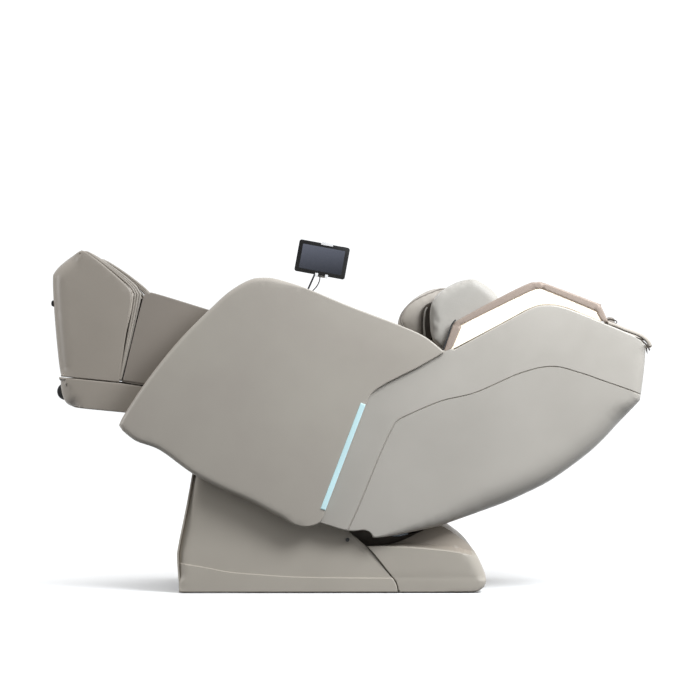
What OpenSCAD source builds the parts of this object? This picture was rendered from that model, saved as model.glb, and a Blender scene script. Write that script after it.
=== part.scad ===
// Reclining massage chair in its tilted-back pose, legs raised.
// X runs from the feet to the head, Y to the sitter's right, Z up from the floor.

/* [Overall] */
// Distance between the outer faces of the two arms
arm_span = 760; // [748:2:780]
// Width of the back shell, which tucks inside the arms
shell_span = 724; // [716:2:728]
// Width of the leg rest and the foot unit
leg_span = 510; // [500:2:514]
// Width of the base covers
base_span = 636; // [616:2:650]
// Distance between the inner faces of the two arms
seat_gap = 524; // [520:1:530]

/* [Walls] */
// Thickness of an arm's outer skin
arm_skin = 14; // [10:1:16]
// Wall of the back shell, leg shells and base covers
wall = 6; // [4:0.5:8]
// Running clearance on the radius of every pivot
play = 0.05; // [0.02:0.01:0.1]

/* [Back] */
// Angle of the backrest above the horizontal
back_angle = 33; // [30:0.5:36]
// Half the inner width of the carriage track
track_half = 96; // [94:0.5:97]

/* [Drive] */
// Gear module of the carriage drive
gear_module = 3; // [2.5:0.5:3]
// Teeth on the carriage pinion
pinion_teeth = 12; // [11:1:13]

/* [Hidden] */
$fn = 48;

greige = [0.69, 0.66, 0.63];
leather = [0.62, 0.59, 0.56];
steel = [0.45, 0.47, 0.5];
black = [0.08, 0.08, 0.08];
champagne = [0.76, 0.68, 0.62];

// Half widths
arm_out = arm_span / 2;
arm_in = seat_gap / 2;
shell_out = shell_span / 2;
shell_in = shell_out - wall;
leg_out = leg_span / 2;
base_out = base_span / 2;

// Pivots, as [x, z]
tilt_axis = [150, 330];
hip_axis = [100, 420];
knee_axis = [-470, 790];
tilt_base = [-200, 110];
tilt_top = [-200, 540];
leg_drive_start = [-260, 540];
leg_drive_end = [-552, 733];
track_start = [178, 495];

// Smooth curve through points; the last point is left for the next run
function spline(a, b, c, d, t) =
    0.5 * (2 * b + (c - a) * t + (2 * a - 5 * b + 4 * c - d) * t * t
    + (3 * b - a - 3 * c + d) * t * t * t);
function curve(p, steps = 2) = [
    for (i = [0 : len(p) - 2])
        for (k = [0 : steps - 1])
            spline(p[max(i - 1, 0)], p[i], p[i + 1], p[min(i + 2, len(p) - 1)], k / steps)
];

// Side outlines, as [x, z]
arm_front = [
    [-731, 538], [-712, 576], [-635, 691], [-539, 810], [-443, 907], [-379, 965], [-315, 1002],
    [-267, 1009], [-219, 1002], [-123, 970], [5, 917], [165, 856], [245, 819], [306, 771]
];
arm_rear = [[306, 771], [229, 726], [165, 694], [117, 669], [75, 640], [56, 605]];
arm_under = [
    [-94, 227], [-155, 216], [-219, 246], [-315, 296], [-411, 339], [-501, 387], [-600, 458],
    [-677, 488]
];
arm_outline = concat(
    curve(arm_front), curve(arm_rear), [[56, 605], [-74, 266]], curve(arm_under), [[-720, 521]]
);
led_band = [[56, 606], [-74, 265], [-90, 271], [40, 612]];

shell_under = [
    [133, 184], [229, 202], [286, 214], [357, 237], [421, 259], [485, 282], [549, 309],
    [645, 357], [741, 424], [805, 478], [869, 546], [933, 618]
];
shell_top = [
    [944, 795], [917, 820], [805, 868], [693, 912], [632, 921], [581, 910], [485, 859], [338, 780]
];
shell_outline = concat(
    [[-130, 235], [-91, 227], [-5, 202], [53, 203], [72, 192], [78, 179]],
    curve(shell_under), [[933, 618], [946, 714], [950, 778]],
    curve(shell_top), [[338, 780], [306, 765], [229, 720], [165, 688], [60, 635], [0, 600]]
);

wing_outline = concat(
    [[302, 776]],
    curve([
        [266, 808], [261, 906], [263, 933], [297, 970], [344, 996], [392, 1011], [408, 1010],
        [451, 983], [472, 967]
    ]),
    [[472, 967], [492, 935], [480, 870], [338, 786]]
);
shoulder_outline = concat(
    curve([[200, 800], [168, 858], [165, 886], [186, 928], [238, 964], [293, 984], [350, 985]]),
    [[350, 985], [420, 950], [440, 900], [420, 860], [300, 800]]
);
halo_outer = [
    [302, 771], [331, 854], [344, 870], [485, 947], [571, 989], [600, 994], [629, 990],
    [792, 928], [805, 918], [830, 866], [700, 860], [500, 800]
];
halo_inner = [
    [322, 765], [334, 781], [360, 851], [373, 864], [581, 966], [603, 971], [629, 968],
    [779, 906], [792, 896], [811, 866], [700, 860], [500, 800]
];

calf_outline = concat(
    [[-730, 680], [-664, 947], [-645, 963]], curve([[-645, 963], [-616, 960], [-443, 907]]),
    [[-443, 907], [-446, 800], [-452, 770], [-500, 760], [-545, 715], [-600, 667], [-654, 669]]
);
foot_outline = concat(
    [[-934, 694]],
    curve([[-942, 739], [-955, 874], [-962, 1002], [-955, 1034], [-923, 1067], [-875, 1099]]),
    curve([[-875, 1099], [-853, 1101], [-827, 1091], [-763, 1043], [-706, 992], [-690, 970]]),
    [[-690, 970], [-686, 947], [-712, 810], [-739, 675]]
);
housing_outline = concat(
    [[-936, 692]], curve([[-936, 692], [-934, 650], [-920, 611], [-891, 594], [-860, 590]]),
    [[-860, 590], [-715, 576], [-640, 570], [-640, 655], [-654, 660], [-739, 673]]
);

seat_outline = [
    [-438, 708], [-444, 760], [-440, 795], [-425, 803], [-200, 683], [-20, 586], [20, 560],
    [28, 535], [20, 505], [-15, 481]
];
back_pad_outline = [
    [131, 530], [85, 552], [80, 575], [110, 600], [300, 724], [560, 893], [600, 903],
    [640, 905], [700, 893], [805, 855], [905, 832], [950, 818], [968, 802], [970, 795],
    [962, 789], [938, 806], [880, 822], [800, 830], [760, 826], [650, 838], [584, 824]
];
pillow_outline = [
    [512, 872], [504, 905], [510, 945], [532, 970], [590, 966], [660, 952], [712, 930],
    [736, 900], [730, 887], [700, 896], [640, 908], [600, 906], [560, 896]
];

cover_seam = [[-5, 202], [37, 166], [75, 131], [126, 67], [146, 42], [155, 22], [158, 3]];
front_cover_outline = concat(
    [
        [-542, 3], [-550, 106], [-546, 154], [-520, 282], [-501, 387], [-499, 412], [-411, 366],
        [-315, 323], [-219, 272], [-155, 245], [-60, 226]
    ],
    curve(cover_seam), [[158, 3]]
);
rear_cover_outline = concat(
    [
        [160, 3], [157, 22], [148, 42], [128, 67], [77, 131], [59, 150], [150, 158], [225, 190],
        [262, 206]
    ],
    curve([[293, 213], [325, 198], [357, 176], [389, 150], [414, 118], [440, 58], [442, 35]]),
    [[442, 35], [434, 19], [414, 6], [389, 3]]
);

// Extrudes an x-z outline from y0 to y1
module between(y0, y1) {
    translate([0, y1, 0]) rotate([90, 0, 0]) linear_extrude(y1 - y0) children();
}
// A rod along Y at [x, z]
module rod(at, y0, y1, r) {
    translate([at[0], y0, at[1]]) rotate([-90, 0, 0]) cylinder(h = y1 - y0, r = r);
}
module right_hand() {
    mirror([0, 1, 0]) children();
}
module both_sides() {
    children();
    mirror([0, 1, 0]) children();
}
// Places children in the backrest's own axes: x up the back, z out of the pad
module on_back() {
    translate([track_start[0], 0, track_start[1]]) rotate([0, -back_angle, 0]) children();
}
// Places children with x along the line from one [x, z] point to another
module along(from, to) {
    translate([from[0], 0, from[1]])
        rotate([0, -atan2(to[1] - from[1], to[0] - from[0]), 0]) children();
}

// ---------- Base ----------
pan_front = -395;
pan_back = 400;
pan_low = 12;
tower_in = 226;
tower_out = 240;
ear_in = 30;

module base_pan() {
    color(steel) difference() {
        union() {
            translate([pan_front, -250, pan_low]) cube([pan_back - pan_front, 500, 4]);
            both_sides() {
                translate([pan_front, 205, pan_low + 4]) cube([pan_back - pan_front, 35, 26]);
                between(tower_in, tower_out)
                    polygon([[90, 16], [210, 16], [176, 345], [162, 356], [138, 356], [124, 345]]);
                between(ear_in, ear_in + 6)
                    polygon([[-240, 16], [-160, 16], [-184, 122], [-216, 122]]);
            }
        }
        rod(tilt_axis, -base_out, base_out, 10 + play);
        rod(tilt_base, -60, 60, 8 + play);
    }
}

module base_cover() {
    color(greige) difference() {
        between(-base_out, -arm_in) polygon(front_cover_outline);
        between(-base_out + 4, -arm_in + 1) offset(delta = -5) polygon(front_cover_outline);
    }
}

module base_rear_cover() {
    color(greige) difference() {
        between(-base_out, base_out) polygon(rear_cover_outline);
        between(-base_out + wall, base_out - wall) union() {
            offset(delta = -wall) polygon(rear_cover_outline);
            polygon([[50, -5], [420, -5], [420, 12], [240, 84], [90, 128], [50, 120]]);
        }
        translate([40, -250, 120]) cube([215, 500, 120]);
        translate([416, 80, 18]) cube([34, 60, 46]);
        between(-base_out - 1, base_out + 1) polygon([[50, 100], [76, 133], [56, 152], [40, 140]]);
    }
}

module screw_plugs() {
    color(black) both_sides() rod([-3, 171], -base_out - 1.5, -base_out, 6.5);
}

module feet() {
    color(black) both_sides()
        for (x = [-360, -120, 150, 340])
            translate([x, 222, 0]) cylinder(h = pan_low, r1 = 24, r2 = 20);
}

module air_pump() {
    color([0.2, 0.2, 0.22]) {
        translate([-150, -190, 16]) cube([180, 130, 70]);
        for (x = [-105, -15]) translate([x, -125, 86]) cylinder(h = 34, r = 38);
        for (x = [-130, -90, -50, -10]) translate([x, -190, 50]) rotate([90, 0, 0])
            cylinder(h = 12, r = 4);
    }
}

module power_supply() {
    color([0.6, 0.6, 0.58]) {
        translate([-150, 60, 16]) cube([220, 130, 60]);
        for (i = [0 : 6]) translate([-140 + 30 * i, 70, 76]) cube([8, 110, 14]);
    }
}

// A three-pin inlet in its plate, with the switch beside it
module mains_inlet() {
    color(black) difference() {
        translate([408, 82, 22]) cube([32, 56, 40]);
        translate([424, 92, 29]) cube([17, 26, 26]);
        translate([424, 121, 34]) cube([17, 13.5, 20]);
    }
    color(steel) for (p = [[98, 36], [112, 36], [105, 48]])
        translate([424, p[0] - 1, p[1] - 2]) cube([11, 2, 4]);
}

module power_switch() {
    color([0.55, 0.06, 0.05]) {
        rod([430, 44], 122, 133.5, 3);
        between(122, 133.5) polygon([[430, 37], [436, 35.5], [440.5, 44], [442, 52], [430, 51]]);
    }
}

module tilt_motor() {
    color(black) along(tilt_base, tilt_top) {
        difference() {
            union() {
                rotate([0, 90, 0]) cylinder(h = 250, r = 19);
                translate([-12, -24, -22]) cube([70, 48, 44]);
                translate([30, 0, 38]) rotate([0, 90, 0]) cylinder(h = 120, r = 20);
                translate([30, -12, 10]) cube([24, 24, 30]);
            }
            translate([62, 0, 0]) rotate([0, 90, 0]) cylinder(h = 200, r = 10.5 + play);
        }
    }
    color(steel) {
        rod(tilt_base, -ear_in - 7, -24, 8);
        rod(tilt_base, 24, ear_in + 7, 8);
    }
}

module tilt_rod() {
    color(steel) along(tilt_base, tilt_top) difference() {
        union() {
            translate([235, 0, 0]) rotate([0, 90, 0]) cylinder(h = 183, r = 10.5);
            translate([430, -10, 0]) rotate([-90, 0, 0]) cylinder(h = 20, r = 19);
        }
        translate([430, -11, 0]) rotate([-90, 0, 0]) cylinder(h = 22, r = 12.5);
    }
}

// ---------- Seat ----------
rail_in = 200;
rail_out = 222;
rail_outline = [
    [-425, 696], [-425, 675], [-380, 635], [-60, 455], [110, 295], [180, 300], [185, 360],
    [135, 446], [80, 446], [20, 455], [-12, 474]
];

module seat_frame() {
    color(steel) difference() {
        union() {
            between(-rail_out, rail_out)
                polygon([[-432, 703], [-10, 476.5], [-12, 472.5], [-434, 699]]);
            both_sides() {
                between(rail_in, rail_out) polygon(rail_outline);
                rod(tilt_axis, rail_out, tower_out + 4, 10);
                rod([-330, 625], rail_out - 2, arm_in, 12);
                between(14, 20) polygon([[-230, 588], [-170, 556], [-186, 525], [-214, 525]]);
                between(18, 24) polygon([[-330, 641], [-235, 590], [-240, 560], [-290, 540]]);
            }
            rod(tilt_top, -20, 20, 8);
        }
        both_sides() rod(hip_axis, rail_in - 1, rail_out + 1, 12 + play);
    }
}

module knee_shaft() {
    color(steel) rod(knee_axis, -arm_in, arm_in, 12);
}

module seat_cushion() {
    color(leather) between(-246, 246) polygon(seat_outline);
}

module led_cut() {
    offset(delta = 0.4) polygon(led_band);
}

// The skin is a plate over the whole arm, with a rim inside it ahead of the back shell
rim_region = [[-760, 400], [-150, 200], [-150, 560], [-60, 660], [-60, 1100], [-760, 1100]];
rim_depth = 28;

module arm_shell() {
    color(greige) {
        between(-arm_out, -arm_out + arm_skin) difference() {
            polygon(arm_outline);
            led_cut();
        }
        between(-arm_out + arm_skin - 1, -arm_out + rim_depth) difference() {
            intersection() {
                polygon(arm_outline);
                polygon(rim_region);
            }
            offset(delta = -6) polygon(arm_outline);
        }
    }
}

// The armrest's inner body ends short of the shoulder pads and clears the base covers
core_region = [
    [-760, 500], [-590, 500], [-440, 690], [-400, 680], [-205, 440], [-90, 330], [-30, 330],
    [40, 600], [46, 1100], [-760, 1100]
];
channel_region = [[-430, 600], [46.5, 600], [46.5, 1100], [-430, 1100]];
channel_depth = 88;
core_out = arm_out - rim_depth - 0.5;
channel_in = arm_in + 24;

module core_face() {
    intersection() {
        offset(delta = -8) polygon(arm_outline);
        polygon(core_region);
    }
}
module channel_face(depth) {
    intersection() {
        difference() {
            polygon(arm_outline);
            offset(delta = -depth) polygon(arm_outline);
            polygon([[-800, 0], [-430, 0], [-430, 1200], [-800, 1200]]);
            polygon([[-800, 0], [100, 0], [100, 480], [-800, 900]]);
        }
        polygon(channel_region);
    }
}

module arm_core() {
    color(greige) difference() {
        between(-core_out, -arm_in) core_face();
        between(-core_out - 1, -channel_in) channel_face(channel_depth);
        between(-channel_in - 1, -arm_in + 1) channel_face(46);
        between(-core_out - 1, -arm_in - 8) difference() {
            offset(delta = -8) core_face();
            offset(delta = 10) channel_face(channel_depth);
        }
    }
}

module armrest_pad() {
    color(leather) between(-core_out, -channel_in - 1) difference() {
        channel_face(channel_depth - 0.5);
        offset(delta = 0.3) channel_face(64);
        polygon([[-800, 0], [-424, 0], [-424, 1200], [-800, 1200]]);
    }
}

module led_strips() {
    color([0.8, 0.95, 1]) both_sides()
        between(-arm_out + 0.5, -arm_out + arm_skin) polygon(led_band);
}

module leg_motor() {
    color(black) along(leg_drive_start, leg_drive_end) difference() {
        union() {
            rotate([0, 90, 0]) cylinder(h = 180, r = 17);
            translate([-30, -18, -20]) cube([60, 36, 40]);
            translate([20, 0, 34]) rotate([0, 90, 0]) cylinder(h = 90, r = 15);
            translate([20, -10, 10]) cube([24, 20, 25]);
        }
        translate([40, 0, 0]) rotate([0, 90, 0]) cylinder(h = 150, r = 9 + play);
    }
}

module leg_rod() {
    color(steel) along(leg_drive_start, leg_drive_end) {
        translate([165, 0, 0]) rotate([0, 90, 0]) cylinder(h = 185, r = 9);
        translate([350, -26, 0]) rotate([-90, 0, 0]) cylinder(h = 52, r = 7);
    }
}

// ---------- Back ----------
module back_face() {
    polygon(shell_outline);
}

module back_shell() {
    color(greige) difference() {
        between(-shell_out, shell_out) back_face();
        between(-shell_in, shell_in) union() {
            offset(delta = -wall) back_face();
            polygon([[-200, 100], [330, 100], [330, 300], [-200, 300]]);
            polygon([[-200, 200], [-60, 200], [80, 560], [80, 700], [-200, 700]]);
            polygon([[-200, 560], [340, 740], [640, 880], [925, 780], [960, 830], [900, 1000],
                [-200, 1000]]);
        }
    }
}

rack_low = -60;
rack_line = -46;
pitch = PI * gear_module;
pitch_radius = gear_module * pinion_teeth / 2;
tooth_add = 0.9 * gear_module;
tooth_ded = 1.15 * gear_module;

// Half widths of a tooth at its root, pitch line and tip
tooth_root = 0.32 * pitch;
tooth_mid = 0.2 * pitch;
tooth_tip = 0.09 * pitch;

module rack_teeth(count) {
    for (i = [0 : count - 1])
        translate([i * pitch, 0])
            polygon([
                [-tooth_root, -tooth_ded - 0.5], [tooth_root, -tooth_ded - 0.5],
                [tooth_tip, tooth_add], [-tooth_tip, tooth_add]
            ]);
}

module back_frame() {
    hip = [-106.3, -20.4];
    color(steel) both_sides() between(track_half + 1, track_half + 13)
        polygon([
            [590, 756], [640, 804], [760, 800], [880, 796], [880, 790], [760, 790], [644, 784],
            [620, 740]
        ]);
    color(steel) on_back() {
        union() {
            translate([-80, -track_half - 14, rack_low - 4])
                cube([640, 2 * track_half + 28, 4]);
            both_sides() {
                translate([-80, track_half, rack_low]) cube([640, 14, 70]);
                between(186, 198) polygon([
                    [hip[0] - 24, hip[1] + 14], [hip[0] - 24, hip[1] - 14], [hip[0] - 8, hip[1] - 24],
                    [-50, -64], [-50, -30], [hip[0] + 14, hip[1] + 22], [hip[0] - 12, hip[1] + 24]
                ]);
                rod(hip, 190, rail_out, 12);
            }
            translate([-80, -198, -64]) cube([30, 396, 34]);
            translate([-4, -32, rack_low - 0.5]) cube([484, 16, 11.5]);
            translate([car_u - 8.5 * pitch, -16, rack_line]) rotate([90, 0, 0])
                linear_extrude(16) rack_teeth(51);
            for (u = [60, 480]) {
                rod([u, -76], -shell_in + 14, shell_in - 14, 10);
                translate([u - 8, -40, -72]) cube([16, 80, 10]);
            }
        }
    }
}

module back_pad() {
    color(leather) {
        between(-232, 232) polygon(back_pad_outline);
        both_sides() between(231, 338) polygon([
            [500, 856], [560, 889], [600, 901], [640, 905], [700, 893], [805, 855], [905, 832],
            [950, 818], [968, 802], [970, 795], [962, 789], [938, 806], [880, 800], [800, 812],
            [700, 840], [600, 842], [520, 800]
        ]);
    }
}

module head_pillow() {
    color(leather) between(-150, 150) polygon(pillow_outline);
}

module pull_tabs() {
    color(leather) both_sides() {
        between(-262, -238)
            polygon([[824, 852], [826, 872], [840, 888], [858, 884], [862, 868], [852, 846]]);
        between(-300, -288) polygon([[952, 785], [963, 757], [961, 786]]);
    }
}

module shoulder_wing() {
    color(greige) between(-335, -240) polygon(wing_outline);
}
module shoulder_pad() {
    color(leather) between(-239, -150) polygon(shoulder_outline);
}

module halo_trims() {
    color(champagne) both_sides() between(-shell_out, -shell_out + 20) difference() {
        polygon(halo_outer);
        polygon(halo_inner);
        offset(delta = 0.3) back_face();
    }
}

module light_panels() {
    color([1, 0.97, 0.9]) both_sides() between(-shell_out + 4, -shell_out + 16) difference() {
        polygon(halo_inner);
        offset(delta = 0.3) back_face();
    }
}

// ---------- Massage carriage, in the backrest's axes ----------
car_u = 80;
tap_axis = [car_u, 15];
pinion_axis = [car_u, rack_line + pitch_radius];
roller_r = 22;

module carriage() {
    color(steel) on_back() difference() {
        union() {
            both_sides() {
                between(76, 84) polygon([
                    [35, -40], [125, -40], [125, -16], [98, -16], [95, 27], [65, 27], [62, -16],
                    [35, -16]
                ]);
                translate([37, 84, -34]) cube([86, track_half - 84 - 0.2, 12]);
            }
            for (u = [35, 113]) translate([u, -76, -40]) cube([12, 152, 20]);
            rod(tap_axis, -78, 78, 8);
        }
        rod(pinion_axis, -90, -70, 5 + play);
    }
}

module massage_motor() {
    color(black) on_back() {
        translate([47, 0, -40]) cube([66, 66, 34]);
        translate([67, -8, -34]) cube([26, 8, 12]);
    }
}

module drive_pinion() {
    color([0.75, 0.65, 0.35]) on_back() translate([pinion_axis[0], 0, pinion_axis[1]]) {
        translate([0, -16.5, 0]) rotate([90, 0, 0]) linear_extrude(15) union() {
            circle(r = pitch_radius - tooth_ded);
            for (i = [0 : pinion_teeth - 1])
                rotate(180 + i * 360 / pinion_teeth)
                    translate([0, pitch_radius]) polygon([
                        [-0.28 * pitch, -tooth_ded - 1], [0.28 * pitch, -tooth_ded - 1],
                        [tooth_mid, 0], [tooth_tip, tooth_add], [-tooth_tip, tooth_add],
                        [-tooth_mid, 0]
                    ]);
        }
        rod([0, 0], -86, -10, 5);
    }
}

module massage_arm() {
    color([0.8, 0.8, 0.78]) on_back() difference() {
        union() {
            between(-60, -50) polygon([
                [car_u - 67, 8], [car_u - 67, 28], [car_u, 34], [car_u + 67, 28],
                [car_u + 67, 8], [car_u, 3]
            ]);
            for (u = [-55, 55]) {
                rod([car_u + u, 18], -84, -55, 5);
                rod([car_u + u, 18], -86.5, -84.2, 10);
            }
        }
        rod(tap_axis, -61, -49, 8 + play);
    }
}

module massage_roller(u) {
    color([0.85, 0.82, 0.75]) on_back() translate([car_u + u, -84, 18]) rotate([-90, 0, 0])
        difference() {
            rotate_extrude() polygon([
                [0, 0], [15, 0], [20, 3], [roller_r, 8], [roller_r, 15], [20, 19], [15, 22],
                [0, 22]
            ]);
            translate([0, 0, -1]) cylinder(h = 24, r = 5 + play);
        }
}

// ---------- Leg rest ----------
slide_low = [-575, 707.4];
slide_high = [-800, 728.6];
guide_low = [-612, 710.9];
guide_high = [-722, 721.2];
slide_y = 110;

module tube_between(from, to, y, r) {
    translate([0, y, 0]) along(from, to) rotate([0, 90, 0])
        cylinder(h = norm(to - from), r = r);
}

module leg_frame() {
    color(steel) difference() {
        union() {
            both_sides() {
                tube_between(guide_low, guide_high, slide_y, 13);
                between(30, 38) polygon([
                    [-650, 700], [-612, 696], [-572, 708], [-534, 712], [-524, 733], [-530, 754],
                    [-560, 760], [-600, 730], [-650, 722]
                ]);
            }
            translate([-650, -slide_y, 700]) cube([22, 2 * slide_y, 8]);
            translate([-716, -247, 690]) cube([20, 494, 22]);
        }
        both_sides() tube_between(slide_low, slide_high, slide_y, 8 + play);
        rod([-552, 733], -39, 39, 22);
    }
}

module calf_shell() {
    color(greige) difference() {
        between(-leg_out, leg_out) polygon(calf_outline);
        between(-leg_out + wall, leg_out - wall) polygon([
            [-740, 687], [-654, 675], [-602, 673], [-548, 721], [-503, 766], [-440, 775],
            [-430, 1000], [-760, 1000]
        ]);
        between(-42, 42) polygon([[-640, 640], [-480, 640], [-480, 800], [-640, 800]]);
        rod(knee_axis, -leg_out - 1, leg_out + 1, 12 + play);
    }
}

module calf_pads() {
    color(leather) difference() {
        between(-248, 248) polygon([
            [-722, 740], [-669, 930], [-645, 950], [-616, 948], [-459, 898], [-460, 806],
            [-486, 806], [-508, 784], [-560, 768], [-612, 732]
        ]);
        both_sides() between(28, 205) polygon([[-760, 786], [-430, 814], [-430, 1100],
            [-760, 1100]]);
    }
}

// ---------- Foot unit ----------
sole_axis = [-908, 850];

module foot_shell() {
    color(greige) difference() {
        union() {
            difference() {
                between(-leg_out, leg_out) polygon(foot_outline);
                between(-leg_out + 8, leg_out - 8) polygon([
                    [-925, 702], [-932, 740], [-945, 874], [-952, 1002], [-946, 1028],
                    [-917, 1058], [-872, 1088], [-845, 1092], [-830, 1130], [-600, 1130],
                    [-600, 683], [-739, 682]
                ]);
            }
            both_sides() between(236, 248) polygon([
                [-948, 830], [-908, 826], [-890, 836], [-890, 864], [-908, 874], [-950, 870]
            ]);
        }
        rod(sole_axis, -249, 249, 6 + play);
    }
}

module foot_pads() {
    color(leather) difference() {
        between(-235, 235) polygon([
            [-926, 722], [-930, 760], [-942, 880], [-948, 1002], [-942, 1026], [-915, 1054],
            [-870, 1084], [-842, 1087], [-826, 1080], [-763, 1032], [-712, 988], [-700, 966],
            [-722, 830], [-740, 718], [-756, 704.5]
        ]);
        both_sides() between(32, 205) polygon([
            [-882, 758], [-890, 880], [-898, 1000], [-880, 1036], [-850, 1060], [-820, 1130],
            [-600, 1130], [-600, 744], [-740, 744]
        ]);
        rod(sole_axis, -236, 236, 26);
        between(-236, 236) polygon([[-960, 826], [-908, 826], [-908, 874], [-960, 874]]);
        both_sides() between(slide_y - 14, slide_y + 14)
            polygon([[-806, 700], [-600, 680], [-600, 722], [-806, 741]]);
    }
}

module foot_housing() {
    color(greige) difference() {
        between(-leg_out, leg_out) polygon(housing_outline);
        between(-leg_out + wall, leg_out - wall) union() {
            offset(delta = -wall) polygon(housing_outline);
            polygon([[-900, 640], [-900, 720], [-600, 690], [-600, 580], [-700, 584]]);
        }
        both_sides() between(150, 190) translate([-922, 645]) circle(r = 33);
        rod([-922, 645], -200, 200, 7);
    }
}

module foot_slides() {
    color(steel) {
        both_sides() {
            tube_between(slide_low, slide_high, slide_y, 8);
            translate([-800, slide_y - 12, 705]) cube([12, 24, 33]);
        }
        translate([-800, -246.5, 690]) cube([12, 493, 17]);
    }
}

module ottoman_wheels() {
    color(black) {
        both_sides() {
            translate([-922, 152, 645]) rotate([-90, 0, 0]) rotate_extrude() polygon([
                [0, 0], [24, 0], [27, 2], [28, 6], [28, 30], [27, 34], [24, 36], [0, 36]
            ]);
        }
        rod([-922, 645], -189, 189, 4);
    }
}

module bumpers() {
    color(black) both_sides() between(180, 215)
        polygon([[-959, 920], [-965, 924], [-966, 931], [-965, 938], [-960, 942]]);
}

module sole_rollers() {
    color([0.3, 0.3, 0.32]) {
        rod(sole_axis, -247, 247, 6);
        both_sides() for (y = [60, 110, 160])
            translate([sole_axis[0], y, sole_axis[1]]) rotate([-90, 0, 0]) rotate_extrude()
                polygon([[0, 0], [12, 0], [18, 6], [20, 12], [20, 18], [18, 24], [12, 30], [0, 30]]);
    }
}

// ---------- Tablet and its holder ----------
post_foot = [-146, 366, 986];
post_ball = [-112, 366, 1066];
holder_y = 330;
tablet_mid = [-92, 1102];
tablet_roll = 10.4;
cradle_x = 8;

module at_tablet() {
    translate([tablet_mid[0], holder_y, tablet_mid[1]]) rotate([0, tablet_roll, 0]) children();
}

module holder_stalk() {
    color([0.25, 0.25, 0.26]) {
        translate([post_foot[0], post_foot[1], post_foot[2] - 2]) cylinder(h = 10, r = 12);
        translate([0, post_foot[1], 0])
            along([post_foot[0], post_foot[2] + 4], [post_ball[0], post_ball[2]])
            rotate([0, 90, 0]) cylinder(h = 86, r = 3.3);
        translate(post_ball) rotate([0, 90, 0]) cylinder(h = 12, r = 6, center = true);
    }
}

module holder_cradle() {
    color([0.85, 0.85, 0.86]) {
        at_tablet() {
            translate([cradle_x - 20, 8, -62]) cube([40, 4, 110]);
            for (x = [-17.5, 17.5]) {
                translate([cradle_x + x - 5, -9, -62]) cube([10, 20, 6]);
                translate([cradle_x + x - 5, -9, -62]) cube([10, 4, 12]);
            }
        }
        rod([post_ball[0], post_ball[2]], holder_y + 9, post_ball[1] - 6.5, 7);
    }
}

module holder_jaw() {
    color([0.85, 0.85, 0.86]) at_tablet() {
        translate([cradle_x - 21, -9, 56]) cube([42, 24, 5]);
        translate([cradle_x - 21, -9, 50]) cube([42, 4, 8]);
        translate([cradle_x - 8, 12.2, 10]) cube([16, 3, 50]);
    }
}

module tablet() {
    color(black) at_tablet() difference() {
        rotate([90, 0, 0]) translate([0, 0, -5]) linear_extrude(10) offset(r = 8)
            square([162, 96], center = true);
        translate([60, -2, 54.2]) cube([16, 4, 3]);
    }
}

module tablet_button() {
    color([0.3, 0.3, 0.3]) at_tablet() translate([60.5, -1.5, 55.4]) cube([15, 3, 1.2]);
}

cable_route = [
    [-100, 330, 1045], [-100, 331, 1036], [-102, 334, 1026], [-107, 339, 1015],
    [-114, 345, 1005], [-122, 350, 997], [-129, 354, 990], [-133, 356, 984]
];
module tablet_cable() {
    color([0.2, 0.2, 0.2]) swept_tube(cable_route, 2, 8);
}

// A tube of n sides along a route: each ring lies square to the route
function unit(v) = v / norm(v);
function way(p, i) = unit(p[min(i + 1, len(p) - 1)] - p[max(i - 1, 0)]);
function ring(p, i, r, n) =
    let (t = way(p, i), a = unit(cross(t, [0, 1, 0.1])), b = cross(t, a))
    [for (k = [0 : n - 1]) p[i] + r * (cos(360 * k / n) * a + sin(360 * k / n) * b)];
module swept_tube(p, r, n) {
    last = len(p) - 1;
    points = [for (i = [0 : last]) each ring(p, i, r, n)];
    sides = [
        for (i = [0 : last - 1]) for (k = [0 : n - 1])
            [i * n + k, (i + 1) * n + k, (i + 1) * n + (k + 1) % n, i * n + (k + 1) % n]
    ];
    start = [for (k = [0 : n - 1]) k];
    end = [for (k = [n - 1 : -1 : 0]) last * n + k];
    polyhedron(points, concat(sides, [start, end]));
}

base_pan();
base_cover();  // base_cover_left
right_hand() base_cover();  // base_cover_right
base_rear_cover();
screw_plugs();
feet();
air_pump();
power_supply();
mains_inlet();
power_switch();
tilt_motor();
tilt_rod();
seat_frame();
knee_shaft();
seat_cushion();
arm_shell();  // arm_shell_left
right_hand() arm_shell();  // arm_shell_right
arm_core();  // arm_core_left
right_hand() arm_core();  // arm_core_right
armrest_pad();  // armrest_pad_left
right_hand() armrest_pad();  // armrest_pad_right
led_strips();
leg_motor();
leg_rod();
back_shell();
back_frame();
back_pad();
head_pillow();
pull_tabs();
shoulder_wing();  // shoulder_wing_left
right_hand() shoulder_wing();  // shoulder_wing_right
shoulder_pad();  // shoulder_pad_left
right_hand() shoulder_pad();  // shoulder_pad_right
halo_trims();
light_panels();
carriage();
massage_motor();
drive_pinion();
massage_arm();  // massage_arm_left
right_hand() massage_arm();  // massage_arm_right
massage_roller(55);  // roller_upper_left
right_hand() massage_roller(55);  // roller_upper_right
massage_roller(-55);  // roller_lower_left
right_hand() massage_roller(-55);  // roller_lower_right
leg_frame();
calf_shell();
calf_pads();
foot_shell();
foot_pads();
foot_housing();
foot_slides();
ottoman_wheels();
bumpers();
sole_rollers();
holder_stalk();
holder_cradle();
holder_jaw();
tablet();
tablet_button();
tablet_cable();
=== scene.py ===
import bmesh
import bpy
import math
import numpy as np
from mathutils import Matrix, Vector
from mathutils.bvhtree import BVHTree
from mathutils.geometry import delaunay_2d_cdt


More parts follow.
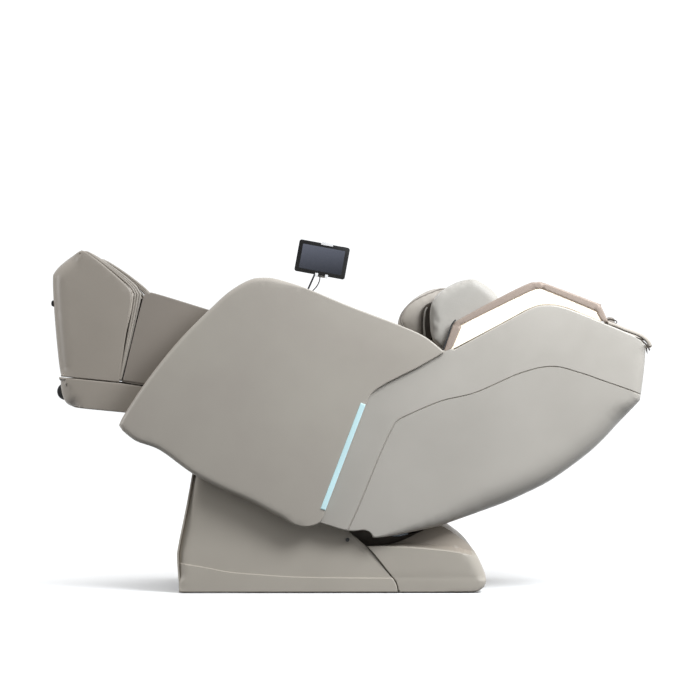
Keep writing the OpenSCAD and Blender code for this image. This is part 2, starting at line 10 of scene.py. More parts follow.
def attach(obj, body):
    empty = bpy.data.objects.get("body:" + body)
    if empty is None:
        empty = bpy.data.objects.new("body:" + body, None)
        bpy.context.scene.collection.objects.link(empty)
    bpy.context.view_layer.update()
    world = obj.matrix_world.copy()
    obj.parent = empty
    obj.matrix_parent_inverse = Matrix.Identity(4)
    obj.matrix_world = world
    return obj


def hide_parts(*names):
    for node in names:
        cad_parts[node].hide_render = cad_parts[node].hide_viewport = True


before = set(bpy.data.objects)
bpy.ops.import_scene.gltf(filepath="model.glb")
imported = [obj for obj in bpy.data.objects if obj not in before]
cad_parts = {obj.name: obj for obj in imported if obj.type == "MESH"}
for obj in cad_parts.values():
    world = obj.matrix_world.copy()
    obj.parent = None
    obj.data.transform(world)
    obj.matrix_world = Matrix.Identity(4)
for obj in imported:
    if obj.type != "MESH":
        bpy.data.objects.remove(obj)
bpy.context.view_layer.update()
scene = bpy.context.scene
MM = 0.001
SIDES = ((-1, "left"), (1, "right"))  # the sign of y, and the tag in a piece's name
CLOTH_FRAMES = 20  # how long a padded cover is blown up
EDGE_RINGS = (0.035, 0.12, 0.25, 0.42, 0.62, 0.85)  # parts of an edge's radius

# ---------------------------------------------------------------- camera
cam_data = bpy.data.cameras.new("camera")
cam_data.lens = 121.4
cam_data.sensor_width = 36
camera = bpy.data.objects.new("camera", cam_data)
scene.collection.objects.link(camera)
camera.location = (0.005, -7.88, 0.678)
camera.rotation_euler = (math.radians(90.76), 0, 0)
cam_data.clip_end = 60
scene.camera = camera


def node_color(text):
    """Hex colour to linear RGBA."""
    v = [int(text[i:i + 2], 16) / 255 for i in (0, 2, 4)]
    return tuple(c / 12.92 if c < 0.04045 else ((c + 0.055) / 1.055) ** 2.4 for c in v) + (1,)


class Nodes:
    """A material and short calls to add and join its nodes."""

    def __init__(self, name):
        self.mat = bpy.data.materials.new(name)
        self.mat.use_nodes = True
        self.tree = self.mat.node_tree
        self.bsdf = self.tree.nodes["Principled BSDF"]
        self.coords = self.add("ShaderNodeTexCoord").outputs["Object"]

    def add(self, kind, **values):
        n = self.tree.nodes.new(kind)
        for k, v in values.items():
            if k in n.inputs:
                n.inputs[k].default_value = v
            else:
                setattr(n, k, v)
        return n

    def join(self, a, b):
        self.tree.links.new(a, b)

    def noise(self, scale, detail=4, rough=0.55, stretch=None):
        n = self.add("ShaderNodeTexNoise", Scale=scale, Detail=detail, Roughness=rough)
        source = self.coords
        if stretch:
            m = self.add("ShaderNodeMapping", Scale=stretch)
            self.join(source, m.inputs["Vector"])
            source = m.outputs["Vector"]
        self.join(source, n.inputs["Vector"])
        return n.outputs["Fac"]

    def span(self, value, low, high, a, b):
        n = self.add("ShaderNodeMapRange")
        for i, v in enumerate((low, high, a, b)):
            n.inputs[i + 1].default_value = v
        self.join(value, n.inputs[0])
        return n.outputs[0]

    def tint(self, value, a, b, low=0.35, high=0.65):
        r = self.add("ShaderNodeValToRGB")
        r.color_ramp.elements[0].position = low
        r.color_ramp.elements[1].position = high
        r.color_ramp.elements[0].color = a
        r.color_ramp.elements[1].color = b
        self.join(value, r.inputs[0])
        return r.outputs["Color"]

    def bump(self, height, distance, strength=1.0, under=None):
        b = self.add("ShaderNodeBump", Strength=strength, Distance=distance)
        self.join(height, b.inputs["Height"])
        if under is not None:
            self.join(under, b.inputs["Normal"])
        return b.outputs["Normal"]

    def cells(self, scale):
        v = self.add("ShaderNodeTexVoronoi", Scale=scale)
        v.feature = "SMOOTH_F1"
        self.join(self.coords, v.inputs["Vector"])
        return v.outputs["Distance"]

    def axis(self, letter):
        box = self.add("ShaderNodeSeparateXYZ")
        self.join(self.coords, box.inputs[0])
        return box.outputs[letter]

    def set(self, **values):
        for k, v in values.items():
            self.bsdf.inputs[k.replace("_", " ")].default_value = v
        return self

    def feed(self, name, value):
        self.join(value, self.bsdf.inputs[name])
        return self


def plastic(name, light, dark, rough=0.42, grain=0.00006, coat=0.12):
    m = Nodes(name)
    soft = m.noise(3.2, 3)
    m.feed("Base Color", m.tint(soft, node_color(dark), node_color(light), 0.3, 0.7))
    m.feed("Roughness", m.span(m.noise(26, 5), 0.3, 0.7, rough - 0.05, rough + 0.06))
    pores = m.bump(m.noise(900, 2), grain, 0.6)
    m.feed("Normal", m.bump(m.noise(7, 2), 0.0005, 0.25, pores))
    m.set(Coat_Weight=coat, Coat_Roughness=0.28)
    return m.mat


def leather(name, light, dark, rough=0.5, grain=420, depth=0.00022, sheen=0.15):
    m = Nodes(name)
    cloud = m.noise(9, 5, 0.6)
    m.feed("Base Color", m.tint(cloud, node_color(dark), node_color(light), 0.32, 0.68))
    cells = m.cells(grain)
    pores = m.bump(cells, depth, 0.7)
    folds = m.bump(m.noise(38, 6, 0.62, (1, 1.6, 1)), 0.0016, 0.22, pores)
    m.feed("Normal", folds)
    m.feed("Roughness", m.span(cells, 0.0, 0.6, rough - 0.06, rough + 0.1))
    m.set(Sheen_Weight=sheen, Sheen_Roughness=0.45)
    return m.mat


def metal(name, light, dark, rough=0.3, brushed=(1, 1, 1), metallic=1.0):
    m = Nodes(name)
    lines = m.noise(160, 4, 0.6, brushed)
    m.feed("Base Color", m.tint(lines, node_color(dark), node_color(light)))
    m.feed("Roughness", m.span(m.noise(45, 6), 0.3, 0.7, rough - 0.08, rough + 0.12))
    m.feed("Normal", m.bump(lines, 0.00008, 0.5))
    m.set(Metallic=metallic)
    return m.mat


def rubber(name, light, dark, rough=0.72):
    m = Nodes(name)
    m.feed("Base Color", m.tint(m.noise(60, 6), node_color(dark), node_color(light)))
    m.feed("Roughness", m.span(m.noise(30, 4), 0.3, 0.7, rough - 0.08, rough + 0.1))
    m.feed("Normal", m.bump(m.noise(700, 3), 0.00015, 0.8))
    return m.mat


def glow(name, body, shine, power, low, high):
    """A translucent diffuser: the light under it is a little uneven from low to high."""
    m = Nodes(name)
    m.feed("Base Color", m.tint(m.noise(6, 2), node_color(body), node_color(body)))
    m.feed("Emission Strength", m.span(m.noise(5, 2), 0.3, 0.7, power * low, power * high))
    m.set(Emission_Color=node_color(shine), Roughness=0.35, Coat_Weight=0.3)
    m.feed("Normal", m.bump(m.noise(400, 2), 0.00005, 0.4))
    return m.mat


SHELL = plastic("shell_greige", "b3aea6", "aca79f", 0.4)
# The arm, foot and calf plastics are darker copies of the shell's greige: painted shade for the
# lesser light on those parts.
ARM_SHADED = plastic("arm_greige_painted_shade", "aaa49a", "a49d94", 0.44)
BASE = plastic("base_greige", "b0a99e", "a9a297", 0.5, coat=0.04)
FOOT_SHADED = plastic("foot_greige_painted_shade", "9c948a", "968e84", 0.44)
CALF_SHADED = plastic("calf_greige_painted_shade", "898178", "827a71", 0.5)
CAVITY = rubber("cavity_brown", "40382f", "332c25", 0.7)
PAD = leather("pad_leather", "ada59b", "a0988e")
WING = leather("wing_leather", "aba7a0", "a39f98", 0.5)
# The airbag leather is a darker copy of the pad leather: painted shade on the shoulder pads.
SHADED_PAD = leather("airbag_leather", "a9a299", "9c958c", 0.5)
PIPING = leather("piping_leather", "8d867f", "827b74", 0.46, 700, 0.00012)
STEEL = metal("frame_steel", "54585c", "44484c", 0.42)
BRIGHT = metal("bright_steel", "c9cccf", "a9adb1", 0.2, (1, 12, 1))
MOTOR = rubber("motor_black", "2b2c2e", "1b1c1e", 0.45)
PUMP = plastic("pump_grey", "54575b", "484b4f", 0.5)
RUBBER = rubber("black_rubber", "1d1d1e", "121213")
ROLLER = plastic("roller_plastic", "d8cdb9", "cbbfa9", 0.36)
SOLE = rubber("sole_rubber", "4b4a4c", "3c3b3d", 0.6)
BRASS = metal("gear_brass", "c9a85c", "a98a45", 0.28)
CHAMPAGNE = metal("champagne_trim", "9f9085", "94857a", 0.56, (30, 1, 1), 0.22)
WARM = glow("warm_light", "fff6e6", "fff3df", 0.55, 0.9, 1.1)
COOL = glow("cool_light", "b4cdd0", "b0dfe8", 0.36, 0.8, 1.15)
RED = plastic("switch_red", "a41f1a", "8a1511", 0.32)
DARKMETAL = metal("holder_dark", "5a5a5c", "424244", 0.3)
SILVER = plastic("holder_silver", "e3e3e4", "cfcfd1", 0.28, 0.00003, 0.4)
TABLET = plastic("tablet_black", "0d0d0e", "080809", 0.3, 0.00002, 0.2)
CABLE = rubber("cable_grey", "4a4a4c", "39393b", 0.5)


def recess_shade_material():
    """The base plastic with painted shade: darker where the recess runs in under the seat."""
    m = Nodes("recess_painted_shade")
    out = m.span(m.axis("X"), 0.06, 0.37, 0, 1)
    m.feed("Base Color", m.tint(out, node_color("4c453d"), node_color("a89e92"), 0.0, 1.0))
    m.feed("Roughness", m.span(m.noise(26, 5), 0.3, 0.7, 0.42, 0.54))
    m.feed("Normal", m.bump(m.noise(900, 2), 0.00006, 0.6))
    return m.mat


def screen_material():
    """Dark glass with a painted reflection of the room: its colour grows lighter towards its upper
    edge.
    """
    m = Nodes("tablet_screen")
    up = m.span(m.axis("Z"), 1.055, 1.155, 0, 1)
    m.feed("Base Color", m.tint(up, node_color("32343b"), node_color("5b5e69"), 0.0, 1.0))
    m.feed("Roughness", m.span(m.noise(40, 4), 0.3, 0.7, 0.1, 0.18))
    m.set(Coat_Weight=0.3, Coat_Roughness=0.08, Specular_IOR_Level=0.3)
    return m.mat


RECESS_SHADE = recess_shade_material()
SCREEN = screen_material()


def new_object(name, data):
    obj = bpy.data.objects.new(name, data)
    scene.collection.objects.link(obj)
    return obj


def dress(obj, mat, smooth=0):
    """One material over a whole piece, shaded smooth, but sharp where it turns more."""
    obj.data.materials.clear()
    obj.data.materials.append(mat)
    for p in obj.data.polygons:
        p.use_smooth = True
        p.material_index = 0
    if smooth:
        obj.data.set_sharp_from_angle(angle=math.radians(smooth))
    return obj


def solid(name, points, faces, mat, smooth):
    """A closed body from its points and faces, with the faces turned outward."""
    mesh = bpy.data.meshes.new(name)
    mesh.from_pydata(points, [], faces)
    bm = bmesh.new()
    bm.from_mesh(mesh)
    bmesh.ops.recalc_face_normals(bm, faces=bm.faces)
    bm.to_mesh(mesh)
    bm.free()
    return dress(new_object(name, mesh), mat, smooth)


def tube(name, points, radius, mat, body, slot):
    """A round bead or wire along points, riding on a body."""
    data = bpy.data.curves.new(name, "CURVE")
    data.dimensions = "3D"
    data.bevel_depth = radius
    data.bevel_resolution = 3
    data.use_fill_caps = True
    line = data.splines.new("POLY")
    line.points.add(len(points) - 1)
    for p, q in zip(line.points, points):
        p.co = (*q, 1)
    line.use_smooth = True
    data.materials.append(mat)
    return settle(new_object(name, data), body, slot)


def spline(points, step=0.008):
    """Catmull-Rom curve through points, sampled at about one step."""
    p = [np.array(q, float) for q in points]
    out = []
    for i in range(len(p) - 1):
        a, b, c, d = p[max(i - 1, 0)], p[i], p[i + 1], p[min(i + 2, len(p) - 1)]
        n = max(2, int(np.linalg.norm(c - b) / step))
        for k in range(n):
            t = k / n
            out.append(0.5 * (2 * b + (c - a) * t + (2 * a - 5 * b + 4 * c - d) * t * t
                              + (3 * b - a - 3 * c + d) * t ** 3))
    out.append(p[-1])
    return np.array(out)


def curve(points, step=0.008):
    """A spline through points given in millimetres."""
    return spline(np.array(points, float) * MM, step)


def side_line(points, y):
    """An x-z curve at one y, all in millimetres, as 3-D points."""
    return [(p[0], y * MM, p[1]) for p in curve(points)]


def joined(*runs):
    """Curves end to end, with a corner where two of them meet."""
    parts = [curve(r) for r in runs]
    return np.concatenate([p[:-1] for p in parts[:-1]] + [parts[-1]])


def outline(*runs, step=0.008):
    """A closed outline from runs in millimetres. A run of 2 points is straight."""
    pts = np.concatenate([curve(r, step)[:-1] for r in runs])
    keep = [0]
    for i in range(1, len(pts)):
        if np.linalg.norm(pts[i] - pts[keep[-1]]) > step * 0.35:
            keep.append(i)
    pts = pts[keep]
    if np.linalg.norm(pts[0] - pts[-1]) < step * 0.35:
        pts = pts[:-1]
    area = np.sum(pts[:, 0] * np.roll(pts[:, 1], -1) - np.roll(pts[:, 0], -1) * pts[:, 1])
    return pts if area > 0 else pts[::-1]


def distance(p, line, closed=True):
    """Distance of each point to a line, and the index of the nearest segment."""
    a = line if closed else line[:-1]
    b = np.roll(line, -1, 0) if closed else line[1:]
    ab = b - a
    best = np.full(len(p), 1e9)
    which = np.zeros(len(p), int)
    for i in range(len(a)):
        t = np.clip(((p - a[i]) @ ab[i]) / max(ab[i] @ ab[i], 1e-12), 0, 1)
        d = np.linalg.norm(p - a[i] - t[:, None] * ab[i], axis=1)
        better = d < best
        best[better] = d[better]
        which[better] = i
    return best, which


def side_of(p, line):
    """Distance of each point to an open line, and the side: positive is left of its way."""
    d, k = distance(p, line, False)
    a, b = line[k], line[np.minimum(k + 1, len(line) - 1)]
    return d, (b - a)[:, 0] * (p - a)[:, 1] - (b - a)[:, 1] * (p - a)[:, 0]


def inside(p, line):
    a, b = line, np.roll(line, -1, 0)
    hit = np.zeros(len(p), bool)
    for (x0, y0), (x1, y1) in zip(a, b):
        cross = (y0 > p[:, 1]) != (y1 > p[:, 1])
        with np.errstate(divide="ignore", invalid="ignore"):
            x = (x1 - x0) * (p[:, 1] - y0) / (y1 - y0) + x0
        hit ^= cross & (p[:, 0] < x)
    return hit


def rounded(d, r):
    """How far a face has dropped at distance d from an edge rounded to r."""
    u = np.clip((r - d) / np.maximum(r, 1e-6), 0, 1)
    return r * (1 - np.sqrt(np.maximum(0, 1 - u * u)))


def sheet_points(pts, radius, step, lines=()):
    """Points inside an outline: rings along its rounded edge, rows along lines, and a grid."""
    nxt, prv = np.roll(pts, -1, 0), np.roll(pts, 1, 0)
    t = nxt - prv
    t /= np.linalg.norm(t, axis=1)[:, None]
    inward = np.stack([-t[:, 1], t[:, 0]], 1)
    extra = []
    for f in EDGE_RINGS:
        d = np.maximum(radius * f, 0.0012 * (1 + 4 * f))
        q = pts + inward * d[:, None]
        far, _ = distance(q, pts)
        extra.append(q[(far > d * 0.97) & inside(q, pts)])
    rows = []
    for line, offsets in lines:
        lt = np.gradient(line, axis=0)
        lt /= np.linalg.norm(lt, axis=1)[:, None]
        side = np.stack([-lt[:, 1], lt[:, 0]], 1)
        for o in offsets:
            q = line + side * o
            far, _ = distance(q, pts)
            rows.append(q[(far > 0.002) & inside(q, pts)])
    lo, hi = pts.min(0), pts.max(0)
    xs = np.arange(lo[0] + step / 2, hi[0], step)
    zs = np.arange(lo[1] + step / 2, hi[1], step * 0.87)
    grid = np.array([(x + (step / 2 if j % 2 else 0), z) for j, z in enumerate(zs) for x in xs])
    far, which = distance(grid, pts)
    keep = inside(grid, pts) & (far > np.maximum(radius[which] * 0.95, step * 0.5))
    for line, offsets in lines:
        near, _ = distance(grid, line, False)
        keep &= near > max(abs(o) for o in offsets) + step * 0.35
    extra.append(grid[keep])
    return np.concatenate(extra + rows)


def plane(y, slope=0.0, s=1):
    """A flat face at y on side s, leaning by slope times the drop at its edge."""
    return lambda p, drop, d: s * (y + slope * drop)


def panel(name, pts, near, far, radius, mat, walls=None, step=0.016, lines=(), smooth=50):
    """A body with two faces in x-z joined round the outline, or only where walls is true."""
    radius = radius(pts) if callable(radius) else np.full(len(pts), float(radius))
    inner = sheet_points(pts, radius, step, lines)
    allp = [Vector(p) for p in np.concatenate([pts, inner])]
    n = len(pts)
    verts, _, faces, origin, _, _ = delaunay_2d_cdt(allp, [], [list(range(n))], 1, 1e-5)
    flat = np.array([(v[0], v[1]) for v in verts])
    d, which = distance(flat, pts)
    drop = rounded(d, radius[which])
    first = {}
    for i, o in enumerate(origin):
        for k in o:
            if k < n and k not in first:
                first[k] = i
    y0, y1 = near(flat, drop, d), far(flat, drop, d)
    m = len(flat)
    co = [(p[0], y, p[1]) for p, y in zip(flat, y0)] + [(p[0], y, p[1]) for p, y in zip(flat, y1)]
    polys = [tuple(f) for f in faces] + [tuple(m + i for i in reversed(f)) for f in faces]
    mask = walls(pts) if walls else np.ones(n, bool)
    for i in range(n):
        j = (i + 1) % n
        if not (mask[i] and mask[j]) or i not in first or j not in first:
            continue
        a, b = first[i], first[j]
        polys.append((b, a, a + m, b + m))
    mesh = bpy.data.meshes.new(name)
    mesh.from_pydata(co, [], polys)
    bm = bmesh.new()
    bm.from_mesh(mesh)
    bmesh.ops.recalc_face_normals(bm, faces=bm.faces)
    total = sum(f.normal.y * f.calc_area() for f in bm.faces
                if all(v.index < m for v in f.verts))
    if total > 0:
        bmesh.ops.reverse_faces(bm, faces=bm.faces)
    bm.to_mesh(mesh)
    bm.free()
    return dress(new_object(name, mesh), mat, smooth)


def side_plate(name, s, pts, outer, inner, slope, radius, mat, step):
    """A thin plate on side s, from y = outer in to y = inner."""
    return panel(name, pts, plane(outer, -1, s), plane(inner, slope, s), radius, mat, step=step)


def ribbon(name, path, y0, y1, thick, mat):
    """A bent strip between two y planes, with a rolled inner lip."""
    t = np.gradient(path, axis=0)
    t /= np.linalg.norm(t, axis=1)[:, None]
    side = np.stack([t[:, 1], -t[:, 0]], 1)
    ring = [(y0, 0), (y1 + 0.003, 0), (y1 + 0.001, 0.0006), (y1, 0.0022),
            (y1, thick - 0.0022), (y1 + 0.001, thick - 0.0006), (y1 + 0.003, thick), (y0, thick)]
    co, faces, k = [], [], len(ring)
    for p, s in zip(path, side):
        co += [(p[0] + s[0] * o, y, p[1] + s[1] * o) for y, o in ring]
    for i in range(len(path) - 1):
        for j in range(k):
            a, b = i * k + j, i * k + (j + 1) % k
            faces.append((a, b, b + k, a + k))
    faces += [tuple(reversed(range(k))), tuple((len(path) - 1) * k + j for j in range(k))]
    return solid(name, co, faces, mat, 45)


def harden(obj, thickness):
    """Gives an open skin its wall, as a real mesh."""
    s = obj.modifiers.new("wall", "SOLIDIFY")
    s.thickness = thickness
    s.offset = -1
    s.use_rim = True
    bake(obj)


def bake(obj):
    """Turns a piece's modifiers into plain mesh."""
    dg = bpy.context.evaluated_depsgraph_get()
    mesh = bpy.data.meshes.new_from_object(obj.evaluated_get(dg))
    obj.modifiers.clear()
    obj.data = mesh


def cut(obj, bm):
    """Takes a closed shape out of a piece."""
    mesh = bpy.data.meshes.new("cutter")
    bm.to_mesh(mesh)
    bm.free()
    cutter = new_object("cutter", mesh)
    m = obj.modifiers.new("cut", "BOOLEAN")
    m.operation = "DIFFERENCE"
    m.object = cutter
    bake(obj)
    bpy.data.objects.remove(cutter)


def settle(obj, body, slot, *nodes):
    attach(obj, body)
    if nodes:
        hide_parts(*nodes)
    return obj


def pair(left, body, slot, nodes=(), right_nodes=()):
    """Settles a left piece and its mirror image, with the nodes each one stands for."""
    mesh = left.data.copy()
    for v in mesh.vertices:
        v.co.y = -v.co.y
    mesh.flip_normals()
    right = new_object(left.name.replace("_left", "_right"), mesh)
    settle(left, body, slot, *nodes)
    settle(right, body, slot, *right_nodes)


def copy_node(node, name):
    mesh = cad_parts[node].data.copy()
    mesh.materials.clear()
    return new_object(name, mesh)


def softened(node, name, mat, body, slot, width, segments=3):
    """A CAD node with its edges rounded over, standing for the node."""
    obj = copy_node(node, name)
    bm = bmesh.new()
    bm.from_mesh(obj.data)
    bmesh.ops.remove_doubles(bm, verts=bm.verts, dist=2e-5)
    bmesh.ops.dissolve_limit(bm, angle_limit=math.radians(0.6), verts=bm.verts, edges=bm.edges)
    bm.to_mesh(obj.data)
    bm.free()
    b = obj.modifiers.new("edges", "BEVEL")
    b.width = width
    b.segments = segments
    b.limit_method = "ANGLE"
    b.angle_limit = math.radians(32)
    b.use_clamp_overlap = True
    b.harden_normals = False
    bake(obj)
    settle(dress(obj, mat, 40), body, slot, node)


def coordinates(obj):
    co = np.zeros(len(obj.data.vertices) * 3)
    obj.data.vertices.foreach_get("co", co)
    return co.reshape(-1, 3)


def place(obj, co):
    obj.data.vertices.foreach_set("co", co.ravel())
    obj.data.update()


def normals(obj):
    n = np.zeros(len(obj.data.vertices) * 3)
    obj.data.vertex_normals.foreach_get("vector", n)
    return n.reshape(-1, 3)


def puff(node, name, mat, body, voxel=0.007, cap=0.008, shrink=0.004, pressure=4.0,
         ease=6):
    """A stuffed cover over a CAD pad's shape: remeshed, blown up as cloth, and capped."""
    obj = copy_node(node, name)
    r = obj.modifiers.new("remesh", "REMESH")
    r.mode = "VOXEL"
    r.voxel_size = voxel
    bake(obj)
    s = obj.modifiers.new("ease", "SMOOTH")
    s.iterations = ease
    s.factor = 0.5
    bake(obj)
    start = coordinates(obj) - normals(obj) * shrink
    place(obj, start)
    cloth = obj.modifiers.new("cloth", "CLOTH")
    cloth.settings.quality = 5
    cloth.settings.use_pressure = True
    cloth.settings.uniform_pressure_force = pressure
    cloth.settings.effector_weights.gravity = 0
    cloth.settings.tension_stiffness = 12
    cloth.settings.compression_stiffness = 12
    cloth.settings.bending_stiffness = 0.4
    cloth.collision_settings.use_collision = False
    scene.frame_start, scene.frame_end = 1, CLOTH_FRAMES
    for f in range(1, CLOTH_FRAMES + 1):
        scene.frame_set(f)
    dg = bpy.context.evaluated_depsgraph_get()
    mesh = bpy.data.meshes.new_from_object(obj.evaluated_get(dg))
    obj.modifiers.clear()
    moved = np.zeros(len(mesh.vertices) * 3)
    mesh.vertices.foreach_get("co", moved)
    bpy.data.meshes.remove(mesh)
    scene.frame_set(1)
    shift = moved.reshape(-1, 3) - start
    size = np.linalg.norm(shift, axis=1)
    shift *= (np.minimum(size, cap) / np.maximum(size, 1e-9))[:, None]
    place(obj, start + shift)
    s = obj.modifiers.new("even", "SMOOTH")
    s.iterations = 3
    s.factor = 0.4
    d = obj.modifiers.new("fine", "SUBSURF")
    d.levels = d.render_levels = 1
    bake(obj)
    dress(obj, mat)
    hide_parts(node)
    obj["body"] = body
    return obj


def press(obj, lines, width=0.006, depth=0.006):
    """Sewn channels: the cover sinks along each line, with a soft shoulder."""
    co, n = coordinates(obj), normals(obj)
    drop = np.zeros(len(co))
    for line in lines:
        d, _ = distance(co, np.array(line, float), False)
        drop = np.maximum(drop, depth * np.exp(-(d / width) ** 2))
    place(obj, co - n * drop[:, None])


def on_surface(obj, points, lift=0.0):
    """Points moved to the nearest place on a piece's surface, lifted off it a little."""
    bm = bmesh.new()
    bm.from_mesh(obj.data)
    tree = BVHTree.FromBMesh(bm)
    out = []
    for p in points:
        hit, n, _, _ = tree.find_nearest(Vector(p))
        out.append(hit + n * lift)
    bm.free()
    return out


def piping(name, obj, points, body, radius=0.0022, lift=0.0008):
    """Welting sewn along a piece's surface."""
    tube(name, on_surface(obj, points, lift), radius, PIPING, body, "pad_leather")


# ---------------------------------------------------------------- outlines, in millimetres [x, z]
ARM_FRONT = [(-731, 538), (-712, 576), (-635, 691), (-539, 810), (-443, 907), (-379, 965),
             (-315, 1002), (-267, 1009), (-219, 1002), (-123, 970), (5, 917), (165, 856),
             (245, 819), (306, 771)]
ARM_REAR = [(306, 771), (229, 726), (165, 694), (117, 669), (75, 640), (56, 605)]
ARM_UNDER = [(-74, 266), (-94, 227), (-155, 216), (-219, 246), (-315, 296), (-411, 339),
             (-501, 387), (-600, 458), (-677, 488), (-720, 521)]
SHELL_UNDER = [(78, 179), (133, 184), (229, 202), (286, 214), (357, 237), (421, 259), (485, 282),
               (549, 309), (645, 357), (741, 424), (805, 478), (869, 546), (933, 618)]
SHELL_TOP = [(944, 795), (917, 820), (805, 868), (693, 912), (632, 921), (581, 910), (485, 859),
             (338, 780)]
GROOVE = [(-2, 205), (37, 291), (101, 448), (142, 534), (155, 550), (174, 563), (293, 614),
          (405, 642), (549, 704), (651, 725), (741, 704), (805, 682), (894, 651), (930, 637)]
HALO_OUTER = [(302, 771), (331, 854), (344, 870), (485, 947), (571, 989), (600, 994),
              (629, 990), (792, 928), (805, 918), (830, 864)]
HALO_INNER = [(322, 776), (334, 792), (360, 851), (373, 864), (581, 966), (603, 971),
              (629, 968), (779, 906), (792, 896), (807, 870)]
CREASE = [(-546, 96), (-460, 82), (-379, 67), (-270, 58), (-155, 51), (0, 49), (165, 48)]

# ---------------------------------------------------------------- the tablet's lead
LEAD_DIAMETER = 0.004
lead_line = spline(np.array([(-100, 330, 1045), (-100, 331, 1036), (-102, 334, 1026),
                             (-107, 339, 1015), (-114, 345, 1005), (-122, 350, 997),
                             (-129, 354, 990), (-133, 356, 984)], float) * MM, 0.003)
lead = tube("tablet_lead", lead_line, LEAD_DIAMETER / 2, CABLE, "holder_post", "cable_grey")
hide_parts("tablet_cable")

# ---------------------------------------------------------------- arms
arm_pts = outline(ARM_FRONT, ARM_REAR, [(56, 605), (-74, 266)], ARM_UNDER,
                  [(-720, 521), (-731, 538)])


def arm_radius(p):
    """A tight turn along the rear edges, a broad soft one along the front."""
    rear = np.clip((p[:, 0] + 0.22) / 0.08, 0, 1)
    return 0.018 * (1 - rear) + 0.0045 * rear


def arm_near(p, drop, d):
    crown = 0.006 * (1 - np.exp(-d / 0.16))
    return -(0.3755 + crown - drop)


def arm_back(p, drop, d):
    """The panel is deeper ahead of the back shell, and thin where it laps over it."""
    edge = -0.15 + 0.09 * np.clip((p[:, 1] - 0.56) / 0.10, 0, 1)
    return -(0.3525 + 0.0130 * np.clip((p[:, 0] - edge + 0.012) / 0.010, 0, 1))


arm_left = panel("arm_panel_left", arm_pts, arm_near, arm_back, arm_radius, ARM_SHADED, step=0.02)
pair(arm_left, "seat", "shell_plastic", ["arm_shell_left"], ["arm_shell_right"])

for _, tag in SIDES:
    softened("arm_core_" + tag, "arm_body_" + tag, ARM_SHADED, "seat", "shell_plastic", 0.008, 4)

# light strips along the rear edge of each arm
strip_pts = outline([(55, 604), (-73, 268)], [(-73, 268), (-89, 273)], [(-89, 273), (39, 610)],
                    [(39, 610), (55, 604)], step=0.005)
led = side_plate("led_diffuser_left", -1, strip_pts, 0.3796, 0.3672, 0, 0.0035, COOL, 0.008)
pair(led, "seat", "cool_light", ["led_strips"])

# ---------------------------------------------------------------- back shell
shell_pts = outline([(-130, 235), (-91, 227), (-5, 202), (53, 203), (72, 192), (78, 179)],
                    SHELL_UNDER, [(933, 618), (946, 714), (950, 778), (944, 795)],
                    SHELL_TOP, [(338, 780), (306, 780), (229, 744), (165, 712), (100, 676),
                                (50, 650), (0, 612)], [(0, 612), (-130, 235)])
groove = curve(GROOVE, 0.004)


def shell_radius(p):
    """Broad under the back, tighter round the head end, crisp along the open top."""
    x, z = p[:, 0], p[:, 1]
    under = np.clip((0.66 - z) / 0.12, 0, 1) * np.clip((x - 0.05) / 0.38, 0, 1)
    end = np.clip((x - 0.86) / 0.06, 0, 1) * np.clip((0.80 - z) / 0.03, 0, 1)
    return np.maximum(0.005, np.maximum(0.075 * under, 0.034 * end))


def shell_near(p, drop, d):
    """A crowned side with a cut groove, leaning in a little below the groove."""
    near_line, side = side_of(p, groove)
    lean = np.where(side < 0, 0.0010 + 0.010 * np.clip(near_line / 0.22, 0, 1), 0)
    cut = 0.003 * np.clip((0.0023 - near_line) / 0.0013, 0, 1)
    crown = 0.0015 * np.clip(d / 0.15, 0, 1)
    return -(0.3605 + crown - np.maximum(drop, 0) - lean * np.clip(1 - drop / 0.05, 0, 1) - cut)


def shell_far(p, drop, d):
    return -shell_near(p, drop, d)


def shell_closed(p):
    """Closed along the underside and round the head end, open along the top and in front."""
    x, z = p[:, 0], p[:, 1]
    return (x > 0.28) & (z < 0.62) | (x > 0.925) & (z < 0.798)


GROOVE_ROWS = (-0.0055, -0.0024, -0.0009, 0.0009, 0.0024, 0.0055)
shell = panel("back_shell_skin", shell_pts, shell_near, shell_far, shell_radius, SHELL,
              shell_closed, 0.02, [(groove, GROOVE_ROWS)], 60)
harden(shell, 0.005)
settle(shell, "back", "shell_plastic", "back_shell")

# ---------------------------------------------------------------- trims and light panels
halo_pts = outline(HALO_OUTER, [HALO_OUTER[-1], HALO_INNER[-1]], HALO_INNER[::-1],
                   [HALO_INNER[0], HALO_OUTER[0]], step=0.006)
halo = side_plate("halo_band_left", -1, halo_pts, 0.3615, 0.343, 1, 0.005, CHAMPAGNE, 0.009)
pair(halo, "back", "champagne_trim", ["halo_trims"])
glow_pts = outline(HALO_INNER, [(807, 870), (805, 869)], [(805, 869), (693, 914), (632, 923),
                   (581, 912), (485, 861), (338, 783)], [(338, 783), (322, 776)], step=0.006)
diffuser = panel("light_diffuser_left", glow_pts,
                 lambda p, drop, d: -(0.3560 + 0.0015 * np.clip(d / 0.04, 0, 1) - drop),
                 plane(-0.347), 0.003, WARM, step=0.012)
pair(diffuser, "back", "warm_light", ["light_panels"])

# ---------------------------------------------------------------- base
base_pts = outline([(-542, 3), (-550, 106), (-546, 154), (-520, 282), (-501, 387), (-499, 412)],
                   [(-499, 412), (-411, 366), (-315, 323), (-219, 272), (-155, 245), (-60, 226),
                    (-5, 202)],
                   [(-5, 202), (37, 166), (75, 131), (126, 67), (146, 42), (155, 22), (158, 3)],
                   [(158, 3), (-542, 3)])
crease = curve(CREASE, 0.006)


def base_radius(p):
    x, z = p[:, 0], p[:, 1]
    front = np.clip((-0.47 - x) / 0.03, 0, 1) * np.clip((z - 0.02) / 0.03, 0, 1)
    seam = np.clip((x + 0.02) / 0.04, 0, 1)
    return 0.004 + 0.034 * front * (1 - seam)


